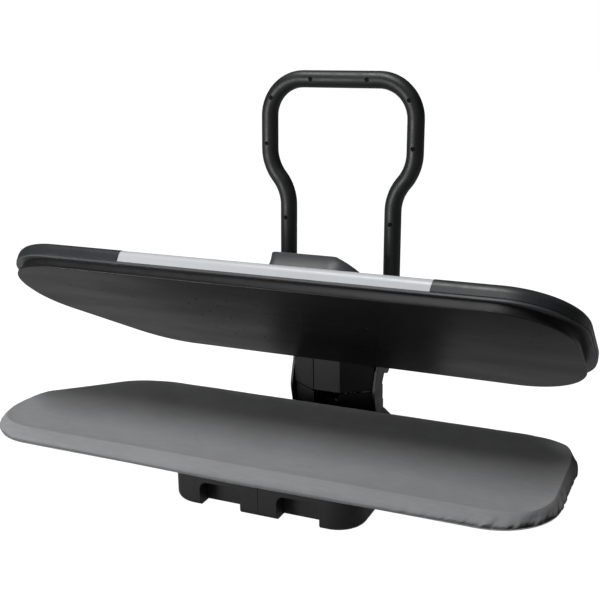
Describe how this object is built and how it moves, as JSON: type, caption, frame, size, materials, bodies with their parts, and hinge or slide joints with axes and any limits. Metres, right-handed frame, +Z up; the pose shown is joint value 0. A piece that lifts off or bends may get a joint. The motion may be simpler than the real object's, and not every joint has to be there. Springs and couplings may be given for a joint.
{
  "type": "tabletop steam ironing press",
  "caption": "Tabletop ironing press: a cloth-covered padded board on a low base, under a hinged heated shoe of the same outline, closed by a looped handle.",
  "frame": {"origin": "on the table, at the foot under the middle of the board, in the hinge's middle plane", "axes": "+X along the board to the user's right, +Y away from the user, +Z up; rest pose is the press open"},
  "size_m": [0.931, 0.4811, 0.633],
  "materials": {
    "housing": "satin",
    "steel": "satin",
    "rubber": "matte",
    "screw": "satin",
    "black_plastic": "satin",
    "foam": "matte",
    "cover_cloth": "matte",
    "elastic": "matte",
    "painted_steel": "satin",
    "spring_steel": "satin",
    "platen_coating": "satin",
    "cast_alloy": "satin",
    "trim": "satin",
    "slate_plastic": "satin",
    "grey_plastic": "satin",
    "silver_plastic": "satin",
    "bronze": "satin",
    "tank_plastic": "satin",
    "lamp": "gloss",
    "handle_plastic": "satin",
    "black_screw": "satin"
  },
  "bodies": {
    "base": {"base_shell_left": "housing", "base_shell_right": "housing", "bottom_plate": "steel", "rubber_feet": "rubber", "bottom_screws": "screw", "cord_gland": "black_plastic", "board_pan": "steel", "foam_pad": "foam", "board_cover": "cover_cloth", "hem_drawcord": "elastic", "board_supports": "black_plastic", "board_screws": "screw", "hinge_frame": "painted_steel", "main_hinge_pin": "steel", "link_pin": "steel", "torsion_springs": "spring_steel", "column_block_left": "housing", "column_block_right": "housing", "column_side_left": "black_plastic", "column_side_right": "black_plastic", "rear_hinge_cover": "housing"},
    "pressing_shoe": {"platen": "platen_coating", "heating_element": "steel", "steam_chamber": "cast_alloy", "heat_shield": "steel", "platen_posts": "steel", "arm_bracket": "painted_steel", "arm_bolts": "screw", "thermostat": "steel", "shoe_skirt": "black_plastic", "shoe_trim": "trim", "end_cap_left": "slate_plastic", "end_cap_right": "slate_plastic", "centre_cover": "silver_plastic", "control_housing": "grey_plastic", "arm_cover": "grey_plastic", "arm_plates": "painted_steel", "hinge_bushes": "bronze", "pivot_bushes": "bronze", "water_pump": "black_plastic", "hinge_guard_left": "housing", "hinge_guard_right": "housing", "hinge_apron": "housing", "control_panel": "black_plastic", "indicator_lamps": "lamp"},
    "water_tank": {"water_tank": "tank_plastic"},
    "filler_cap": {"filler_cap": "black_plastic"},
    "temperature_dial": {"temperature_dial": "black_plastic"},
    "power_button": {"power_button": "silver_plastic"},
    "steam_button": {"steam_button": "silver_plastic"},
    "handle": {"handle_core": "steel", "handle_front_shell": "handle_plastic", "handle_rear_shell": "handle_plastic", "handle_screws": "black_screw", "handle_bosses": "handle_plastic", "handle_shafts": "steel", "crank_plates": "painted_steel", "crank_pins": "steel"},
    "links": {"link_bars": "painted_steel"}
  },
  "joints": [
    {"name": "main_hinge", "type": "hinge", "parent": "base", "child": "pressing_shoe", "pos_m": [0, 0.255, 0.07], "axis": [1, 0, 0], "range_deg": [0, 36], "stiffness_Nm_per_rad": 25, "springref_deg": -57.3},
    {"name": "handle_pivot", "type": "hinge", "parent": "pressing_shoe", "child": "handle", "pos_m": [0, 0.26015, 0.21829], "axis": [1, 0, 0], "range_deg": [0, 41]},
    {"name": "link_pivot", "type": "hinge", "parent": "base", "child": "links", "pos_m": [0, 0.2513, 0.092], "axis": [1, 0, 0], "range_deg": [0, 49.6]},
    {"name": "tank_lift", "type": "slide", "parent": "pressing_shoe", "child": "water_tank", "axis": [0, 0.5878, 0.809], "range_m": [0, 0.08]},
    {"name": "cap_turn", "type": "hinge", "parent": "water_tank", "child": "filler_cap", "pos_m": [-0.028, 0.18305, 0.32994], "axis": [0, 0.5878, 0.809], "range_deg": [0, 90]},
    {"name": "dial_turn", "type": "hinge", "parent": "pressing_shoe", "child": "temperature_dial", "pos_m": [0.145, 0.03541, 0.3445], "axis": [0, 0.5878, 0.809], "range_deg": [-270, 0]},
    {"name": "power_push", "type": "slide", "parent": "pressing_shoe", "child": "power_button", "axis": [0, -0.5878, -0.809], "range_m": [0, 0.0015], "stiffness_N_per_m": 400, "springref_m": -0.001},
    {"name": "steam_push", "type": "slide", "parent": "pressing_shoe", "child": "steam_button", "axis": [0, -0.5878, -0.809], "range_m": [0, 0.0015], "stiffness_N_per_m": 400, "springref_m": -0.001}
  ],
  "couplings": [
    {"joint": "handle_pivot", "follows": "main_hinge", "ratio": 1.1388},
    {"joint": "link_pivot", "follows": "main_hinge", "ratio": 1.377}
  ]
}
